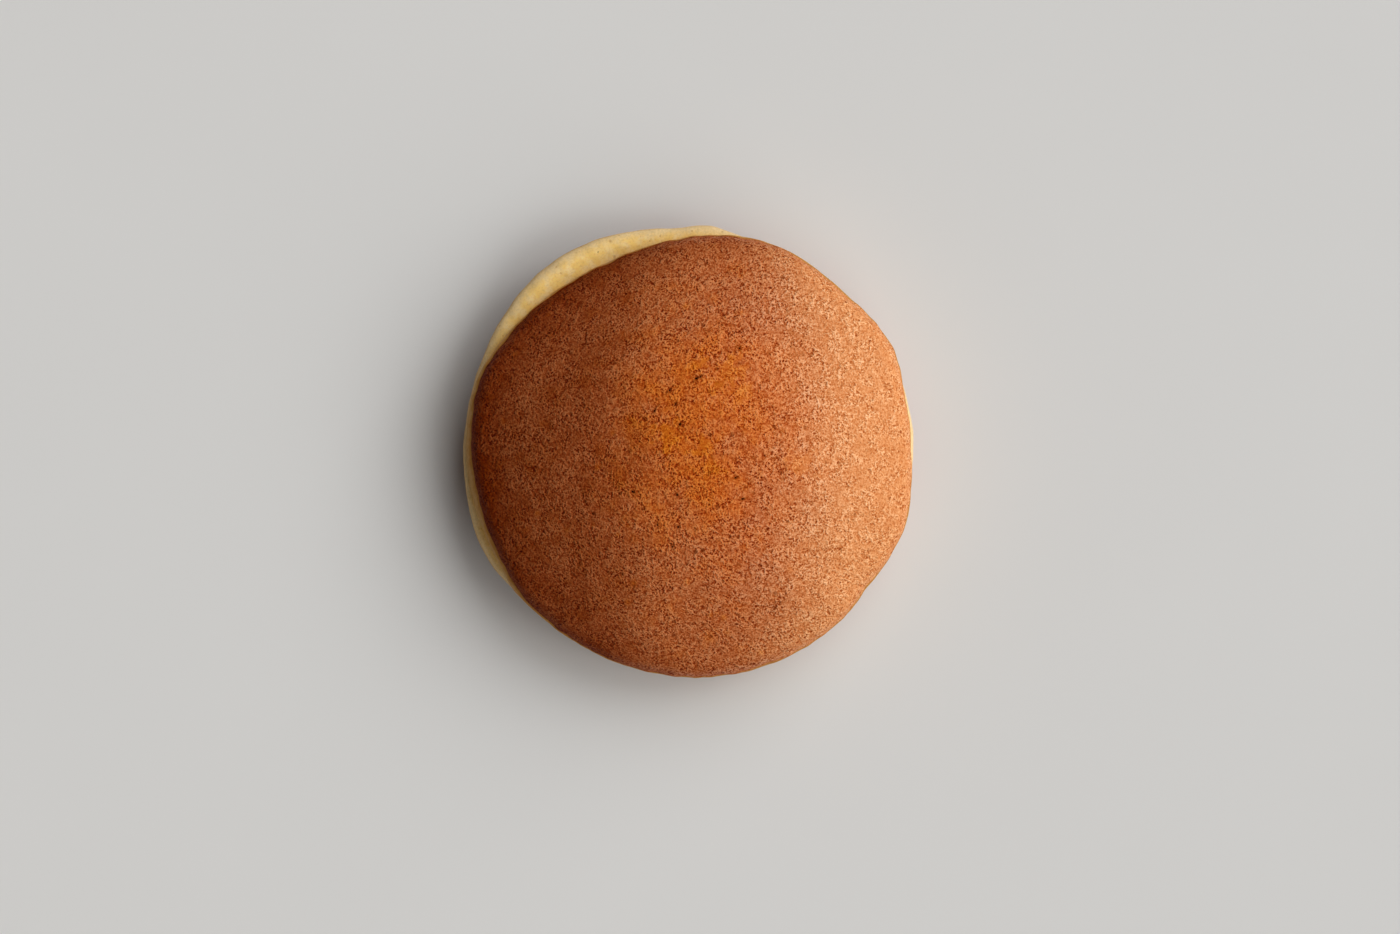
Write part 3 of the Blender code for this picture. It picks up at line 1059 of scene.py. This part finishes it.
def cake_material(name, crust, crumb, toasted_width):
    """Material of a cake: browned crust on one side of its edge line, pale crumb on the other."""
    material = bpy.data.materials.new(name)
    material.use_nodes = True
    graph = Graph(material.node_tree)
    shader = material.node_tree.nodes["Principled BSDF"]
    shader.location = (1800, 0)
    material.node_tree.nodes["Material Output"].location = (2100, 0)
    vector = graph.add("ShaderNodeTexCoord").outputs["Object"]
    read = {
        name.title(): graph.add("ShaderNodeAttribute", attribute_name=name).outputs["Fac"]
        for name in VALUE_NAMES
    }
    colours = {name.title(): (*getattr(crust, name), 1.0) for name in CRUST_COLOURS}
    colours.update((name.title(), (*getattr(crumb, name), 1.0)) for name in CRUMB_COLOURS)
    given = {"Vector": vector, "Toasted Width": toasted_width, **read, **colours}
    browned = graph.group("Browned crust", given)
    pale = graph.group("Pale crumb", given)
    on_crust = graph.rise(read["Edge"], -0.25, 0.25)
    colour = graph.mix(on_crust, pale["Color"], browned["Color"])
    roughness = graph.between(on_crust, pale["Roughness"], browned["Roughness"])
    height = graph.between(on_crust, pale["Height"], browned["Height"])
    relief = graph.add("ShaderNodeBump", {"Strength": 1.0, "Distance": MM, "Height": height})
    glaze = graph.times(on_crust, browned["Glaze"])
    values = {"Base Color": colour, "Roughness": roughness, "Coat Weight": glaze}
    values["Normal"] = relief.outputs["Normal"]
    deliver(graph, shader.inputs, values)
    shader.inputs["Coat Roughness"].default_value = crust.glaze_roughness
    shader.inputs["Specular IOR Level"].default_value = crust.shine
    return material


# ---- settings


def count_property(name, description, default, most=1000):
    """Setting that is a whole number."""
    return IntProperty(name=name, description=description, default=default, min=0, max=most)


def amount_property(name, description, default, **limits):
    """Setting that is a number without a unit, or one with the unit that limits gives."""
    return FloatProperty(
        name=name, description=description, default=default, precision=5, min=0.0, **limits
    )


def length_property(name, description, default):
    """Setting that is a length."""
    return amount_property(name, description, default, subtype="DISTANCE", unit="LENGTH")


def share_property(name, description, default):
    """Setting that goes from 0 to 1."""
    return amount_property(name, description, default, max=1.0, subtype="FACTOR")


def angle_property(name, description, degrees):
    """Setting that is an angle."""
    turn = math.radians(degrees)
    return amount_property(name, description, turn, subtype="ANGLE", unit="ROTATION")


def colour_property(name, description, default):
    """Setting that is a colour."""
    return FloatVectorProperty(
        name=name, description=description, default=default, min=0.0, max=1.0, subtype="COLOR"
    )


class DorayakiShape(bpy.types.PropertyGroup):
    """Fineness and relief of the cakes."""

    cells: count_property("Cells across", "Cells across the crust of a cake", 256, 260)
    grain_height: length_property("Grain height", "Height of the pebbly grain", 0.05 * MM)
    pit_count: count_property("Pits", "Number of small pits strewn over a crust", 420)
    spot_count: count_property("Glassy spots", "Number of small melted spots on a crust", 46)
    pinhole_depth: length_property("Pinhole depth", "Depth of the steam holes", 0.6 * MM)


class DorayakiCrust(bpy.types.PropertyGroup):
    """Colours and shine of the browned crust."""

    brown: colour_property("Brown", "Crust away from the middle", (0.515, 0.123, 0.030))
    orange: colour_property("Orange", "Crust where it lay flattest", (0.580, 0.112, 0.009))
    amber: colour_property("Amber", "Melted, glassy patches", (0.650, 0.145, 0.004))
    # Toasted also serves as painted shade on the side away from the light.
    toasted: colour_property("Toasted", "Crust where it baked longest", (0.180, 0.0200, 0.0008))
    # Painted light: colour of the crust on the side toward the light.
    golden: colour_property("Golden", "Crust where it baked least", (0.785, 0.288, 0.095))
    # Painted shade in the pits and pores.
    pit: colour_property("Pit", "Bottom of the shallow pits", (0.22, 0.030, 0.003))
    # Painted shade inside the pinholes and the crumb's pore.
    hole: colour_property("Hole", "Inside of the pinholes", (0.045, 0.011, 0.004))
    shine: share_property("Shine", "Strength of the skin's reflection", 0.03)
    glaze_roughness: share_property("Glaze roughness", "Softness of the melted sugar's shine", 0.38)


class DorayakiCrumb(bpy.types.PropertyGroup):
    """Colours of the pale crumb."""

    cream: colour_property("Cream", "Unbrowned crumb", (0.98, 0.64, 0.19))
    blush: colour_property("Blush", "Mottled patches of the crumb", (0.98, 0.70, 0.31))
    wall: colour_property("Wall", "Paler crumb of the rim's wall", (0.88, 0.64, 0.35))
    ochre: colour_property("Ochre", "Where crumb turns into crust", (0.55, 0.24, 0.05))


class DorayakiStage(bpy.types.PropertyGroup):
    """Floor, lights and camera."""

    floor_colour: colour_property("Floor", "Plain pale floor", (0.80, 0.79, 0.77))
    key_strength: amount_property(
        "Key strength", "Strength of the softboxes together, in watts per square metre", 3.4
    )
    key_bearing: angle_property("Key bearing", "Bearing of the middle softbox from +X", 2.0)
    key_elevation: angle_property("Key elevation", "Height of the softboxes as an angle", 40.0)
    ambient: amount_property("Ambient", "Strength of the even light all round", 0.07)
    lens: amount_property("Lens", "Focal length", 85.0, subtype="DISTANCE_CAMERA")
    view_width: length_property("View width", "Width of the view at the cake's rim", 0.295)


# ---- operators


# Node groups in the order in which they are made, as the later ones use the first
NODE_GROUPS = {"Pores": small_pores, "Browned crust": browned_crust, "Pale crumb": pale_crumb}


def finish_cake(context, cake, toasted_width):
    """Models a cake, gives it its material and puts it in the place of its CAD node."""
    piece = model_cake(cake, context.scene.dorayaki_shape)
    for name, make in NODE_GROUPS.items():
        if name not in bpy.data.node_groups:
            make()
    crust, crumb = context.scene.dorayaki_crust, context.scene.dorayaki_crumb
    piece.data.materials.append(cake_material(cake.node + "_bake", crust, crumb, toasted_width))
    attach(piece, "root")
    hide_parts(cake.node)


class DORAYAKI_OT_upper_cake(bpy.types.Operator):
    """Model the upper cake, browned side up"""

    bl_idname = "dorayaki.upper_cake"
    bl_label = "Upper cake"

    def execute(self, context):
        cake = Cake(
            "upper_cake",
            upper_outline(),
            UPPER_RADIUS,
            UPPER_CENTRE,
            UPPER_SWELLS,
            drawn_back=CRUST_DRAWN_BACK,
            lip_lifts=LIP_LIFTS,
            sags=CRUST_SAGS,
        )
        finish_cake(context, cake, TOASTED_WIDTHS[cake.node])
        return {"FINISHED"}


class DORAYAKI_OT_lower_cake(bpy.types.Operator):
    """Model the lower cake, pale side up"""

    bl_idname = "dorayaki.lower_cake"
    bl_label = "Lower cake"

    def execute(self, context):
        cake = Cake(
            "lower_cake",
            lower_outline(),
            LOWER_RADIUS,
            LOWER_CENTRE,
            LOWER_SWELLS,
            curls=RIM_CURLS,
        )
        finish_cake(context, cake, TOASTED_WIDTHS[cake.node])
        return {"FINISHED"}


FLOOR_CLOUD_SIZE = 60.0  # millimetres
FLOOR_CLOUD_SHADE = 0.97
FLOOR_ROUGHNESS = 0.6


def floor_material(name, colour):
    """Material of the floor, with a faint unevenness."""
    material = bpy.data.materials.new(name)
    material.use_nodes = True
    graph = Graph(material.node_tree)
    shader = material.node_tree.nodes["Principled BSDF"]
    vector = graph.add("ShaderNodeTexCoord").outputs["Object"]
    cloud = graph.noise(vector, FLOOR_CLOUD_SIZE, 3.0)
    darker = [FLOOR_CLOUD_SHADE * part for part in colour]
    mixed = graph.mix(cloud, (*colour, 1.0), (*darker, 1.0))
    graph.tree.links.new(mixed, shader.inputs["Base Color"])
    shader.inputs["Roughness"].default_value = FLOOR_ROUGHNESS
    return material


def aim(obj, place, target):
    """Puts an object in place and turns its -Z axis to the target, with its Y axis up."""
    turn = (Vector(target) - Vector(place)).to_track_quat("-Z", "Y").to_matrix().to_4x4()
    obj.matrix_world = Matrix.Translation(place) @ turn


def soft_light(name, place, target, spread, strength):
    """Even light from one side, as wide as a large softbox."""
    light = bpy.data.lights.new(name, "SUN")
    light.angle = spread
    light.energy = strength
    obj = bpy.data.objects.new(name, light)
    bpy.context.scene.collection.objects.link(obj)
    aim(obj, place, target)


class DORAYAKI_OT_stage(bpy.types.Operator):
    """Set up the pale floor, the soft lights and the camera straight above"""

    bl_idname = "dorayaki.stage"
    bl_label = "Stage"

    FLOOR_HALF_WIDTH = 4.0
    KEY_DISTANCE = 1.2
    KEY_WIDTH = math.radians(52.0)
    # Softboxes side by side: name, bearing from the middle one in degrees, and share of the strength
    KEYS = (("key_right", -45.0, 0.27), ("key", 0.0, 0.33), ("key_left", 45.0, 0.40))
    EVEN_COLOUR = (1.0, 0.96, 0.9, 1.0)
    BACKDROP_COLOUR = (0.60, 0.593, 0.578, 1.0)
    SENSOR_WIDTH = 36.0
    # Where the middle of the view lies from the middle of the cake
    VIEW_OFFSET = (2.4 * MM, -3.3 * MM)

    def execute(self, context):
        stage = context.scene.dorayaki_stage
        self.make_floor(stage)
        self.make_lights(context, stage)
        self.make_camera(context, stage)
        context.scene.view_settings.view_transform = "Standard"
        return {"FINISHED"}

    def make_floor(self, stage):
        bm = bmesh.new()
        bmesh.ops.create_grid(bm, x_segments=1, y_segments=1, size=self.FLOOR_HALF_WIDTH)
        low = CAD_BOX[0][2]
        bmesh.ops.translate(bm, verts=bm.verts, vec=(0.0, 0.0, low))
        floor = new_object("floor", bm)
        floor.data.materials.append(floor_material("pale_floor", stage.floor_colour))

    def make_lights(self, context, stage):
        middle = (Vector(CAD_BOX[0]) + Vector(CAD_BOX[1])) / 2.0
        reach = Vector((self.KEY_DISTANCE, 0.0, 0.0))
        for name, spread, share in self.KEYS:
            turn = Matrix.Rotation(stage.key_bearing + math.radians(spread), 3, "Z")
            turn = turn @ Matrix.Rotation(-stage.key_elevation, 3, "Y")
            place = middle + turn @ reach
            soft_light(name, place, middle, self.KEY_WIDTH, stage.key_strength * share)
        world = bpy.data.worlds.new("studio")
        world.use_nodes = True
        context.scene.world = world
        graph = Graph(world.node_tree)
        even = world.node_tree.nodes["Background"]
        even.inputs["Color"].default_value = self.EVEN_COLOUR
        even.inputs["Strength"].default_value = stage.ambient
        backdrop = graph.add("ShaderNodeBackground", {"Color": self.BACKDROP_COLOUR})
        seen = graph.add("ShaderNodeLightPath").outputs["Is Camera Ray"]
        both = graph.add("ShaderNodeMixShader", {0: seen})
        graph.tree.links.new(even.outputs[0], both.inputs[1])
        graph.tree.links.new(backdrop.outputs[0], both.inputs[2])
        output = world.node_tree.nodes["World Output"]
        graph.tree.links.new(both.outputs[0], output.inputs["Surface"])

    def make_camera(self, context, stage):
        camera = bpy.data.cameras.new("camera")
        camera.lens = stage.lens
        camera.sensor_width = self.SENSOR_WIDTH
        camera.clip_start = 0.01
        obj = bpy.data.objects.new("camera", camera)
        context.scene.collection.objects.link(obj)
        distance = stage.view_width * camera.lens / camera.sensor_width
        middle = (Vector(CAD_BOX[0]) + Vector(CAD_BOX[1])) / 2.0
        x = middle.x + self.VIEW_OFFSET[0]
        y = middle.y + self.VIEW_OFFSET[1]
        obj.location = (x, y, SEAM_HEIGHT + distance)
        context.scene.camera = obj


class DORAYAKI_PT_panel(bpy.types.Panel):
    """Settings and steps of the dorayaki"""

    bl_idname = "DORAYAKI_PT_panel"
    bl_label = "Dorayaki"
    bl_space_type = "VIEW_3D"
    bl_region_type = "UI"
    bl_category = "Dorayaki"

    def draw(self, context):
        for owner in ("shape", "crust", "crumb", "stage"):
            settings = getattr(context.scene, "dorayaki_" + owner)
            box = self.layout.box()
            for name in settings.__annotations__:
                box.prop(settings, name)
        for operator in OPERATORS:
            self.layout.operator(operator.bl_idname)


GROUPS = {
    "dorayaki_shape": DorayakiShape,
    "dorayaki_crust": DorayakiCrust,
    "dorayaki_crumb": DorayakiCrumb,
    "dorayaki_stage": DorayakiStage,
}
OPERATORS = (DORAYAKI_OT_stage, DORAYAKI_OT_upper_cake, DORAYAKI_OT_lower_cake)


def register():
    for cls in (*GROUPS.values(), *OPERATORS, DORAYAKI_PT_panel):
        bpy.utils.register_class(cls)
    for name, group in GROUPS.items():
        setattr(bpy.types.Scene, name, PointerProperty(type=group))


def unregister():
    for name in GROUPS:
        delattr(bpy.types.Scene, name)
    for cls in (DORAYAKI_PT_panel, *reversed(OPERATORS), *reversed(GROUPS.values())):
        bpy.utils.unregister_class(cls)


def main():
    register()
    bpy.ops.dorayaki.stage()
    bpy.ops.dorayaki.upper_cake()
    bpy.ops.dorayaki.lower_cake()


if __name__ == "__main__":
    main()
